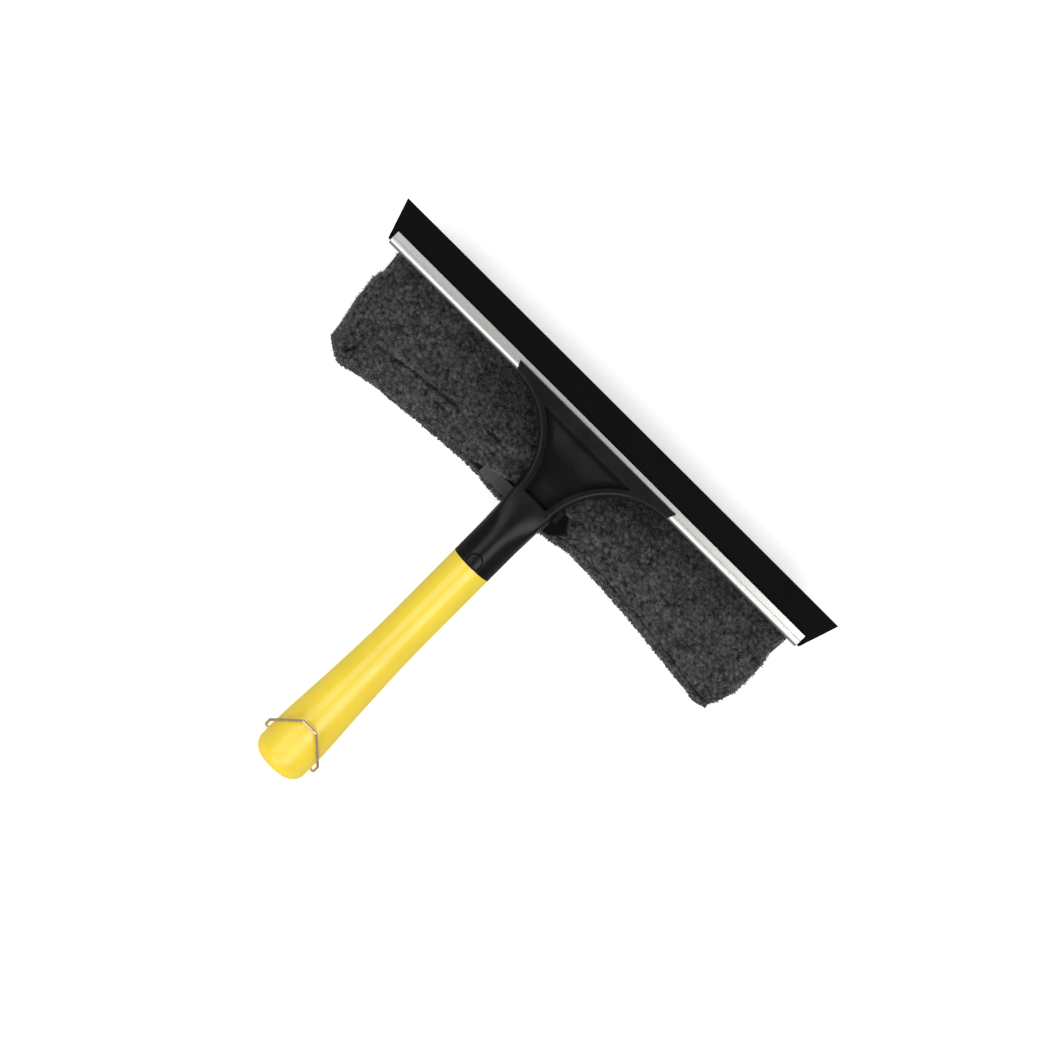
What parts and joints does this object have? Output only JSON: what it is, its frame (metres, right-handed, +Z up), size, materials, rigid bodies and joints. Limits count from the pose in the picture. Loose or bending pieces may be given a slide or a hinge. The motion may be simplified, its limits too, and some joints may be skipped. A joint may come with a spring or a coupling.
{
  "type": "window cleaning squeegee",
  "caption": "Two-in-one window cleaning squeegee: a rubber blade in an aluminium channel, a clip-on microfibre scrubber behind it, and a short hollow grip with a wire hanging bail.",
  "frame": {"origin": "centre of the tool's box, on the floor that the scrubber and the butt of the grip rest on", "axes": "+X along the blade, +Y from the butt of the grip to the blade, +Z up, out of the squeegee's front face; the handle axis rises 6.6 degrees towards the blade"},
  "size_m": [0.3048, 0.2534, 0.0469],
  "materials": {
    "blade_rubber": "matte",
    "anodised_channel": "satin",
    "black_plastic": "satin",
    "yellow_plastic": "semi gloss",
    "screw_steel": "plated",
    "spring_steel": "plain",
    "bail_wire": "polished",
    "bar_plastic": "matte",
    "microfibre_pile": "plush",
    "woven_strap": "woven",
    "hook_tape": "hook and loop"
  },
  "bodies": {
    "tool": {"squeegee_head": "black_plastic", "blade_channel": "anodised_channel", "channel_screw_left": "screw_steel", "channel_screw_right": "screw_steel", "handle_grip": "yellow_plastic", "button_spring": "spring_steel"},
    "blade": {"rubber_blade": "blade_rubber"},
    "bail": {"hanging_bail": "bail_wire"},
    "button": {"release_button": "black_plastic"},
    "scrubber": {"scrubber_bar": "bar_plastic", "scrubber_sleeve": "microfibre_pile", "closure_flap": "woven_strap", "hook_patch": "hook_tape"}
  },
  "joints": [
    {"name": "bail_swing", "type": "hinge", "parent": "tool", "child": "bail", "pos_m": [0, -0.11407, 0.01562], "axis": [1, 0, 0], "range_deg": [0, 268]},
    {"name": "button_press", "type": "slide", "parent": "tool", "child": "button", "axis": [0, 0.1149, -0.9934], "range_m": [0, 0.0022], "stiffness_N_per_m": 1200, "springref_m": -0.001, "deforming": ["button_spring"]},
    {"name": "scrubber_unclip", "type": "slide", "parent": "tool", "child": "scrubber", "axis": [0, 0.1149, -0.9934], "range_m": [0, 0.05]},
    {"name": "blade_slide_out", "type": "slide", "parent": "tool", "child": "blade", "axis": [1, 0, 0], "range_m": [0, 0.295]}
  ]
}
